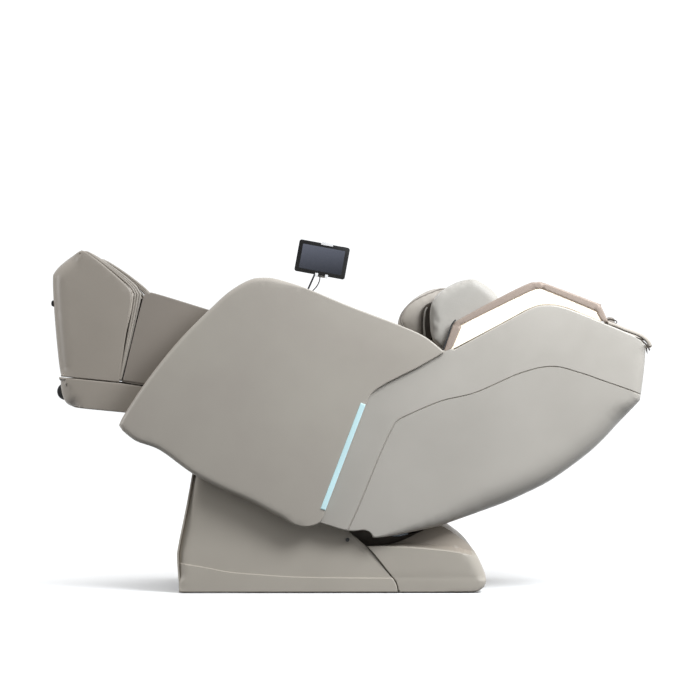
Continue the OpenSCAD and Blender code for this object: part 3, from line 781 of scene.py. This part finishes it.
def base_near(p, drop, d):
    """A waisted side that steps out and flares towards the floor below its crease."""
    near_line, side = side_of(p, crease)
    flare = np.where(side < 0, 0.0035 + 0.05 * near_line, 0)
    waist = 0.010 * np.exp(-((p[:, 1] - 0.19) / 0.10) ** 2)
    return -(0.3160 + flare - drop - waist)


base_left = panel("base_skin_left", base_pts, base_near,
                  lambda p, drop, d: np.maximum(base_near(p, drop, d) + 0.005, -0.3125 + 0 * d),
                  base_radius, BASE, None, 0.018,
                  [(crease, (-0.004, -0.0012, 0.0012, 0.004))], 40)
pair(base_left, "base", "shell_plastic", ["base_cover_left"], ["base_cover_right"])
rim = joined([(-541, 4), (-549, 106), (-545, 154), (-519, 282), (-500, 387), (-497, 410)],
             [(-497, 410), (-411, 365), (-315, 322), (-219, 271), (-155, 244), (-60, 225),
              (-8, 202)])
pair(ribbon("base_rim_left", rim, -0.3090, -0.2625, 0.005, BASE), "base", "shell_plastic")
tail_pts = outline([(160, 3), (157, 22), (148, 42), (128, 67), (77, 131), (59, 150)],
                   [(59, 150), (150, 158), (225, 190), (262, 206), (293, 213), (325, 198),
                    (357, 176), (389, 150), (414, 118), (440, 58), (442, 35)],
                   [(442, 35), (434, 19), (414, 6), (389, 3)], [(389, 3), (160, 3)])
ledge = curve([(40, 151), (120, 149), (200, 146), (332, 133), (400, 117), (440, 98)], 0.006)
tail_crease = curve([(150, 47), (300, 49), (450, 51)], 0.006)


def tail_radius(p):
    back = np.clip((p[:, 0] - 0.28) / 0.05, 0, 1) * np.clip(p[:, 1] / 0.05, 0, 1)
    return 0.0035 + 0.036 * back


def tail_near(p, drop, d):
    """A side that steps in above its ledge, with a shallow line near the floor."""
    near_line, side = side_of(p, ledge)
    lean = np.where(side > 0, 0.046 * np.clip(near_line / 0.010, 0, 1) + 0.20 * near_line, 0)
    line = 0.0009 * np.exp(-((p[:, 1] - 0.05) / 0.006) ** 2)
    return -(0.3178 - np.maximum(drop, lean) - line)


def tail_closed(p):
    return ((p[:, 0] > 0.27) & (p[:, 1] > 0.004)) | (p[:, 0] > 0.44)


LEDGE_ROWS = (-0.0015, 0.0008, 0.004, 0.008, 0.012)
tail = panel("base_tail", tail_pts, tail_near, lambda p, drop, d: -tail_near(p, drop, d),
             tail_radius, BASE, tail_closed, 0.014,
             [(ledge, LEDGE_ROWS), (tail_crease, (-0.006, 0.0, 0.006))], 50)
harden(tail, 0.005)
window = bmesh.new()
bmesh.ops.create_cube(window, size=1)
for v in window.verts:
    v.co = (0.435 + v.co.x * 0.06, 0.110 + v.co.y * 0.058, 0.0415 + v.co.z * 0.045)
cut(tail, window)
# Painted shade: the faces above the ledge, where the recess runs in under the shell, take the darker
# material.
tail.data.materials.append(RECESS_SHADE)
for f in tail.data.polygons:
    x, y, z = f.center
    if abs(y) < 0.3125 and x < 0.395 and z > np.interp(x, ledge[:, 0], ledge[:, 1]) + 0.002:
        f.material_index = 1
settle(tail, "base", "shell_plastic", "base_rear_cover")

# dark sheets seen under the back shell: painted shade in the cavity there
pivot_shade_pts = outline([(40, 100), (18, 150), (-6, 175), (-6, 204)], [(-6, 204), (58, 204)],
                     [(58, 204), (84, 190), (150, 176), (200, 184), (240, 192), (256, 178),
                      (258, 100)], [(258, 100), (40, 100)])
for s, tag in SIDES:
    pivot_shade = side_plate("pivot_shade_sheet_" + tag, s, pivot_shade_pts, 0.2480, 0.2415, 0.3, 0.004, CAVITY,
                        0.012)
    settle(pivot_shade, "base", "motor_black")

# ---------------------------------------------------------------- leg rest shells
calf_pts = outline([(-730, 680), (-664, 947), (-645, 963), (-616, 960), (-443, 907)],
                   [(-443, 907), (-446, 800), (-452, 770)],
                   [(-452, 770), (-500, 760), (-545, 715), (-600, 667), (-654, 669)],
                   [(-654, 669), (-730, 680)])


def calf_near(p, drop, d):
    return -(0.2535 + 0.0015 * np.clip(d / 0.05, 0, 1) - drop)


calf_left = panel("calf_side_left", calf_pts, calf_near, plane(-0.2488), 0.004, CALF_SHADED, step=0.02)
pair(calf_left, "leg_rest", "shell_plastic", ["calf_shell"])
underside = joined([(-731, 682), (-700, 676), (-656, 670), (-602, 669)],
                   [(-602, 669), (-547, 717), (-502, 762), (-455, 772)])
tray = ribbon("calf_underside", underside, -0.2486, 0.2456, 0.005, CALF_SHADED)
settle(tray, "leg_rest", "shell_plastic")

foot_pts = outline([(-934, 694), (-942, 739), (-955, 874), (-962, 1002), (-955, 1034),
                    (-923, 1067), (-875, 1099), (-856, 1100), (-836, 1090), (-775, 1042),
                    (-720, 993), (-704, 972), (-700, 948), (-722, 810), (-741, 675)],
                   [(-741, 675), (-934, 694)])


def foot_radius(p):
    x, z = p[:, 0], p[:, 1]
    front = np.clip((-0.86 - x) / 0.03, 0, 1) * (z > 0.6955)
    lip = np.clip((z - 0.93) / 0.05, 0, 1) * (1 - front)
    return 0.004 + 0.046 * front + 0.004 * lip


def foot_near(p, drop, d):
    ridge = np.clip((-0.80 - p[:, 0]) / 0.08, 0, 1) * np.clip((1.06 - p[:, 1]) / 0.3, 0.3, 1)
    return -(0.2545 - drop - 0.004 * ridge)


def foot_closed(p):
    return (p[:, 0] < -0.878) | (p[:, 1] < 0.70) & (p[:, 0] < -0.80)


foot = panel("foot_skin", foot_pts, foot_near, lambda p, drop, d: -foot_near(p, drop, d),
             foot_radius, FOOT_SHADED, foot_closed, 0.02)
harden(foot, 0.0055)
settle(foot, "foot_unit", "shell_plastic", "foot_shell")

housing_pts = outline([(-936, 692), (-934, 650), (-920, 611), (-891, 594), (-860, 590)],
                      [(-860, 590), (-715, 576), (-640, 570)], [(-640, 570), (-640, 655)],
                      [(-640, 655), (-654, 660), (-739, 673)], [(-739, 673), (-936, 692)])


def housing_radius(p):
    x, z = p[:, 0], p[:, 1]
    front = np.clip((-0.865 - x) / 0.03, 0, 1) * (z < 0.6905 - (x + 0.936) * 0.08)
    return 0.005 + 0.045 * front


def housing_near(p, drop, d):
    ridge = 0.004 * np.clip((-0.835 - p[:, 0]) / 0.06, 0, 1)
    return -(0.2545 - drop - ridge)


housing = panel("foot_base", housing_pts, housing_near, lambda p, drop, d: -housing_near(p, drop, d),
                housing_radius, FOOT_SHADED, lambda p: (p[:, 0] < -0.85) & (p[:, 1] < 0.6895)
                | (p[:, 1] < 0.593), 0.018)
harden(housing, 0.005)
for s, _ in SIDES:
    pocket = bmesh.new()
    bmesh.ops.create_cone(pocket, cap_ends=True, segments=40, radius1=0.033, radius2=0.033,
                          depth=0.04)
    for v in pocket.verts:
        v.co = (v.co.x - 0.922, v.co.z + s * 0.170, v.co.y + 0.645)
    bmesh.ops.recalc_face_normals(pocket, faces=pocket.faces)
    cut(housing, pocket)
settle(housing, "foot_unit", "shell_plastic", "foot_housing")

# the dark seam between the foot unit's shell and its housing
gasket = ribbon("foot_seam", curve([(-929, 690), (-830, 681), (-744, 672.5)]), -0.218, 0.218,
                0.006, CAVITY)
settle(gasket, "foot_unit", "black_rubber")

bracket_pts = outline([(-725, 742), (-717, 744)], [(-717, 744), (-727, 690)],
                      [(-727, 690), (-735, 688)], [(-735, 688), (-725, 742)], step=0.004)
gap_shade_pts = outline([(-748, 684), (-733, 760), (-716, 850), (-692, 948)],
                     [(-692, 948), (-655, 944)], [(-655, 944), (-678, 850), (-722, 684)],
                     [(-722, 684), (-748, 684)])
gusset_pts = outline([(236, 812), (233, 860), (238, 905), (250, 925), (270, 934)],
                     [(270, 934), (270, 812)], [(270, 812), (236, 812)], step=0.006)
binding_pts = outline([(244, 814), (241, 860), (245, 903), (253, 918)], [(253, 918), (257, 916)],
                      [(257, 916), (250, 903), (247, 860), (251, 814)], [(251, 814), (244, 814)],
                      step=0.004)
for s, tag in SIDES:
    # a small bracket, a dark sheet that paints the shade in the gap, and three soft rolls between
    # the foot unit and the calf
    bracket = side_plate("gap_bracket_" + tag, s, bracket_pts, 0.2450, 0.2408, 1, 0.0012,
                         DARKMETAL, 0.006)
    settle(bracket, "leg_rest", "bright_steel")
    gap_shade = side_plate("gap_shade_sheet_" + tag, s, gap_shade_pts, 0.2402, 0.2390, 0.3, 0.0008, CAVITY,
                        0.01)
    settle(gap_shade, "leg_rest", "black_rubber")
    for k, (y, o) in enumerate(((246.0, 4), (244.8, 12), (243.6, 20))):
        roll_line = side_line([(-872, 1094 - o * 0.1), (-850, 1096 - o * 0.1),
                               (-832 + o * 0.2, 1087), (-769 + o * 0.35, 1038 + o * 0.3),
                               (-712 + o * 0.6, 988 + o * 0.35), (-698 + o * 0.9, 967 + o * 0.1),
                               (-696 + o, 944), (-718 + o * 0.7, 812), (-741 + o * 0.25, 684)],
                              s * y)
        tube("foot_roll_%d_%s" % (k, tag), roll_line, 0.0044, (FOOT_SHADED, PAD, SHADED_PAD)[k],
             "foot_unit", "pad_leather")
    # a dark tube at the front end of the halo band: painted shade in the gap there
    tube("halo_gap_shade_" + tag, side_line([(300, 774), (315, 815), (329, 858), (342, 874)], s * 358),
         0.0024, MOTOR, "back", "black_rubber")
    # the dark gusset behind the shoulder wing and its light binding
    gusset = side_plate("wing_gusset_" + tag, s, gusset_pts, 0.262, 0.2415, 0.5, 0.004, CAVITY,
                        0.01)
    settle(gusset, "back", "wing_leather")
    binding = side_plate("wing_gusset_strip_" + tag, s, binding_pts, 0.2655, 0.2600, 0.3, 0.002,
                         WING, 0.006)
    settle(binding, "back", "wing_leather")

# ---------------------------------------------------------------- soft pieces
seat = puff("seat_cushion", "seat_pad", PAD, "seat", 0.010, 0.012)
# the seat's cover has a flap behind it that closes the gap to the back pad
flap = ribbon("seat_flap", curve([(20, 506), (45, 482), (75, 474), (104, 478)]), -0.243, 0.243,
              0.004, PAD)
bm = bmesh.new()
bm.from_mesh(seat.data)
bm.from_mesh(flap.data)
bm.to_mesh(seat.data)
bm.free()
bpy.data.objects.remove(flap)
back = puff("back_pad", "back_cover", PAD, "back", 0.011, 0.010)
pillow = puff("head_pillow", "head_rest", PAD, "back", 0.008, 0.010)
calf = puff("calf_pads", "calf_cover", PAD, "leg_rest", 0.009, 0.007)
feet = puff("foot_pads", "foot_cover", PAD, "foot_unit", 0.009, 0.006)
wings, shoulders, rests = [], [], []
for _, tag in SIDES:
    wings.append(puff("shoulder_wing_" + tag, "shoulder_cover_" + tag, WING, "back",
                      0.008, 0.0045))
    shoulders.append(puff("shoulder_pad_" + tag, "shoulder_airbag_" + tag, SHADED_PAD, "back",
                          0.008, 0.008))
    rests.append(puff("armrest_pad_" + tag, "armrest_cover_" + tag, PAD, "seat",
                      0.008, 0.006))
tabs = puff("pull_tabs", "pull_loops", PIPING, "back", 0.0028, 0.002, 0.0008,
            ease=1)

# the pad's rolled lip over the head end of the shell, with a dark tube under it that paints the
# lip's shadow
for s, tag in SIDES:
    tube("head_lip_" + tag, side_line([(820, 866), (850, 857), (884, 843), (912, 833), (938, 821),
                                       (957, 804), (963, 791)], s * 343),
         0.0064, PAD, "back", "pad_leather")
    # painted shadow under the lip
    tube("head_lip_shadow_" + tag, side_line([(893, 826), (918, 816), (938, 805), (951, 793),
                                        (957, 784), (960, 776)], s * 357.5),
         0.0026, CAVITY, "back", "black_rubber")
    tube("pull_loop_edge_" + tag, side_line([(826, 872), (842, 879), (858, 876), (867, 869),
                                             (856, 861), (838, 856)], s * 263),
         0.0018, CAVITY, "back", "black_rubber")
tube("head_lip_end", [(0.963, y, 0.791) for y in (-0.343, 0.0, 0.343)], 0.0064, PAD, "back",
     "pad_leather")

# sewn channels
press(seat, [[(-0.40, y, 0.80), (-0.20, y, 0.683), (-0.02, y, 0.586)] for y in (-0.16, 0.16)]
      + [[(x, -0.16, z), (x, 0.16, z)] for x, z in ((-0.34, 0.756), (-0.26, 0.712), (-0.18, 0.672),
                                                    (-0.10, 0.629))], 0.009, 0.007)
press(back, [[(0.11, y, 0.600), (0.30, y, 0.724), (0.50, y, 0.855)] for y in (-0.17, 0.17)]
      + [[(x, -0.17, z), (x, 0.17, z)] for x, z in ((0.18, 0.646), (0.27, 0.704), (0.36, 0.763),
                                                    (0.45, 0.823))]
      + [[(0.52, s * 0.235, 0.868), (0.64, s * 0.235, 0.905), (0.80, s * 0.235, 0.857),
          (0.955, s * 0.235, 0.812)] for s, _ in SIDES], 0.009, 0.007)
press(pillow, [[(0.505, y, 0.905), (0.532, y, 0.970), (0.600, y, 0.966), (0.712, y, 0.930)]
               for y in (-0.075, 0.075)], 0.007, 0.006)
for k, (s, _) in enumerate(SIDES):
    press(wings[k], [side_line([(290, 790), (280, 900), (330, 975), (400, 1000)], s * 262)],
          0.005, 0.003)
    press(shoulders[k], [side_line([(210, 800), (185, 880), (205, 935), (300, 975)], s * 215),
                         side_line([(260, 800), (240, 880), (255, 925), (320, 975)], s * 215)],
          0.005, 0.004)
press(feet, [[(x, s * 0.221, z) for x, z in ((-0.842, 1.087), (-0.763, 1.032), (-0.712, 0.988),
                                             (-0.704, 0.95), (-0.73, 0.80))]
             for s, _ in SIDES], 0.005, 0.005)
press(calf, [[(x, s * 0.228, z) for x, z in ((-0.665, 0.93), (-0.616, 0.948), (-0.459, 0.898))]
             for s, _ in SIDES], 0.005, 0.004)

# piping along the seams: the part of its name, the path in x-z, its y, and its size
SEAT_SEAM = [(-434, 770), (-425, 800), (-200, 683), (-20, 586), (18, 560)]
FOOT_SEAM = [(-868, 1086), (-842, 1089), (-763, 1036), (-712, 992), (-702, 966), (-722, 850),
             (-738, 740)]
CALF_SEAM = [(-700, 830), (-669, 932), (-645, 952), (-616, 950), (-459, 900)]
PILLOW_SEAM = [(512, 880), (504, 905), (510, 945), (532, 970), (590, 966), (660, 952), (712, 930),
               (736, 900)]
WING_SEAM = [(300, 785), (268, 812), (263, 906), (265, 933), (299, 970), (345, 994), (392, 1008),
             (408, 1007), (451, 980), (478, 955)]
AIRBAG_SEAM = [(208, 800), (172, 858), (168, 886), (188, 926), (240, 962), (295, 982), (350, 983)]
THICK = (0.0026, 0.001)  # radius, and how far its middle stands off the surface
for k, (s, tag) in enumerate(SIDES):
    for name, obj, seam, y, body, size in (
            ("seat_piping_", seat, SEAT_SEAM, 238, "seat", ()),
            ("foot_piping_a_", feet, FOOT_SEAM, 229, "foot_unit", THICK),
            ("foot_piping_b_", feet, FOOT_SEAM, 212, "foot_unit", THICK),
            ("calf_piping_", calf, CALF_SEAM, 240, "leg_rest", THICK),
            ("pillow_piping_", pillow, PILLOW_SEAM, 143, "back", ()),
            ("wing_piping_", wings[k], WING_SEAM, 246, "back", ()),
            ("airbag_piping_", shoulders[k], AIRBAG_SEAM, 233, "back", ()),
            ("airbag_piping_inner_", shoulders[k], AIRBAG_SEAM, 157, "back", ())):
        piping(name + tag, obj, side_line(seam, s * y), body, *size)

for obj in (seat, back, pillow, calf, feet, tabs, *wings, *shoulders, *rests):
    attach(obj, obj["body"])

# ---------------------------------------------------------------- tablet and holder
softened("tablet", "tablet_case", TABLET, "holder", "tablet_black", 0.0018)
TABLET_CENTRE = Vector((-0.092, 0.330, 1.102))
TABLET_LEAN = math.radians(10.4)
across = Vector((math.cos(TABLET_LEAN), 0, -math.sin(TABLET_LEAN)))
upward = Vector((math.sin(TABLET_LEAN), 0, math.cos(TABLET_LEAN)))


def tablet_plate(name, w, h, r, y0, y1, mat, slot, rise=0.0):
    """A thin rounded plate on the tablet's face, rise above its centre."""
    ring = []
    for sx, sz, start in ((1, 1, 0), (-1, 1, 90), (-1, -1, 180), (1, -1, 270)):
        for k in range(7):
            a = math.radians(start + k * 15)
            ring.append((sx * (w / 2 - r) + r * math.cos(a),
                         rise + sz * (h / 2 - r) + r * math.sin(a)))
    co = [tuple(TABLET_CENTRE + across * x + upward * z + Vector((0, y, 0)))
          for y in (y0, y1) for x, z in ring]
    n = len(ring)
    faces = [tuple(range(n)), tuple(reversed(range(n, 2 * n)))]
    faces += [(i, i + n, (i + 1) % n + n, (i + 1) % n) for i in range(n)]
    settle(solid(name, co, faces, mat, 30), "holder", slot)


tablet_plate("tablet_glass", 0.149, 0.085, 0.003, -0.0056, -0.0049, SCREEN, "tablet_black")
tablet_plate("tablet_lens", 0.004, 0.004, 0.0019, -0.0057, -0.0049, DARKMETAL, "holder_dark",
             0.0505)

# ---------------------------------------------------------------- small parts and drives
for node, name, mat, body, slot, width in (
        ("holder_stalk", "holder_post_bar", DARKMETAL, "holder_post", "holder_dark", 0.0006),
        ("holder_cradle", "holder_back", SILVER, "holder", "holder_silver", 0.0012),
        ("holder_jaw", "holder_clamp", SILVER, "jaw", "holder_silver", 0.0012),
        ("bumpers", "front_bumpers", RUBBER, "foot_unit", "black_rubber", 0.002),
        ("screw_plugs", "cover_plugs", RUBBER, "base", "black_rubber", 0.0005),
        ("feet", "floor_feet", RUBBER, "base", "black_rubber", 0.002),
        ("mains_inlet", "power_inlet", MOTOR, "base", "motor_black", 0.0008),
        ("tilt_motor", "tilt_drive", MOTOR, "tilt_motor", "motor_black", 0.003),
        ("leg_motor", "leg_drive", MOTOR, "seat", "motor_black", 0.003),
        ("air_pump", "air_pump_case", PUMP, "base", "pump_grey", 0.004)):
    softened(node, name, mat, body, slot, width, 2)

# ---------------------------------------------------------------- the frame's own finishes
finishes = {
    "base_pan": STEEL, "power_supply": BRIGHT, "power_switch": RED, "tilt_rod": BRIGHT,
    "seat_frame": STEEL, "knee_shaft": BRIGHT, "leg_rod": BRIGHT, "back_frame": STEEL,
    "carriage": STEEL, "massage_motor": MOTOR, "drive_pinion": BRASS,
    "massage_arm_left": SILVER, "massage_arm_right": SILVER, "leg_frame": STEEL,
    "foot_slides": BRIGHT, "ottoman_wheels": RUBBER, "sole_rollers": SOLE,
    "tablet_button": MOTOR,
}
for end in ("upper_left", "upper_right", "lower_left", "lower_right"):
    finishes["roller_" + end] = ROLLER
for node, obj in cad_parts.items():
    mat = finishes.get(node, SHELL)
    if not obj.data.materials:
        obj.data.materials.append(mat)
    for i in range(len(obj.data.materials)):
        obj.data.materials[i] = mat

# ---------------------------------------------------------------- floor and light
floor_mesh = bpy.data.meshes.new("floor")
floor_mesh.from_pydata([(-25, -25, 0), (25, -25, 0), (25, 25, 0), (-25, 25, 0)], [], [(0, 1, 2, 3)])
floor_mat = Nodes("floor_pale")
floor_mat.feed("Base Color", floor_mat.tint(floor_mat.noise(0.8, 2), node_color("fbfbfb"),
                                            node_color("ffffff")))
floor_mat.set(Roughness=0.75)
floor = dress(new_object("floor", floor_mesh), floor_mat.mat)
floor.visible_diffuse = False

world = bpy.data.worlds.new("studio")
scene.world = world
world.use_nodes = True
wt = world.node_tree
sky = wt.nodes["Background"]
where = wt.nodes.new("ShaderNodeTexCoord")


def along(vector, offset):
    """Brightness that grows towards one direction of the room."""
    dot = wt.nodes.new("ShaderNodeVectorMath")
    dot.operation = "DOT_PRODUCT"
    dot.inputs[1].default_value = vector
    wt.links.new(where.outputs["Generated"], dot.inputs[0])
    plus = wt.nodes.new("ShaderNodeMath")
    plus.operation = "ADD"
    plus.inputs[1].default_value = offset
    wt.links.new(dot.outputs["Value"], plus.inputs[0])
    return plus.outputs[0]


above = along((0.34, 0.47, 0.70), 0.645)
horizon = wt.nodes.new("ShaderNodeMapRange")
for i, v in enumerate((-0.16, -0.03, 0.22, 1.0)):
    horizon.inputs[i + 1].default_value = v
wt.links.new(along((0, 0, 1), 0), horizon.inputs[0])
room = wt.nodes.new("ShaderNodeMath")
room.operation = "MULTIPLY"
wt.links.new(above, room.inputs[0])
wt.links.new(horizon.outputs[0], room.inputs[1])
wt.links.new(room.outputs[0], sky.inputs[1])
sky.inputs[0].default_value = (0.975, 0.987, 1.0, 1)


def area(name, loc, target, size, power, color=(1, 1, 1)):
    data = bpy.data.lights.new(name, "AREA")
    data.shape = "RECTANGLE"
    data.size, data.size_y = size
    data.energy = power
    data.color = color
    obj = new_object(name, data)
    obj.location = loc
    obj.rotation_euler = (Vector(target) - Vector(loc)).to_track_quat("-Z", "Y").to_euler()
    obj.visible_camera = False


area("key", (1.55, -1.75, 2.25), (0.55, -0.3, 0.85), (1.1, 1.1), 88, (0.93, 0.965, 1.0))
area("rim", (-3.2, -0.85, 1.35), (-0.9, -0.2, 0.85), (0.8, 1.6), 30)
scene.view_settings.view_transform = "Standard"
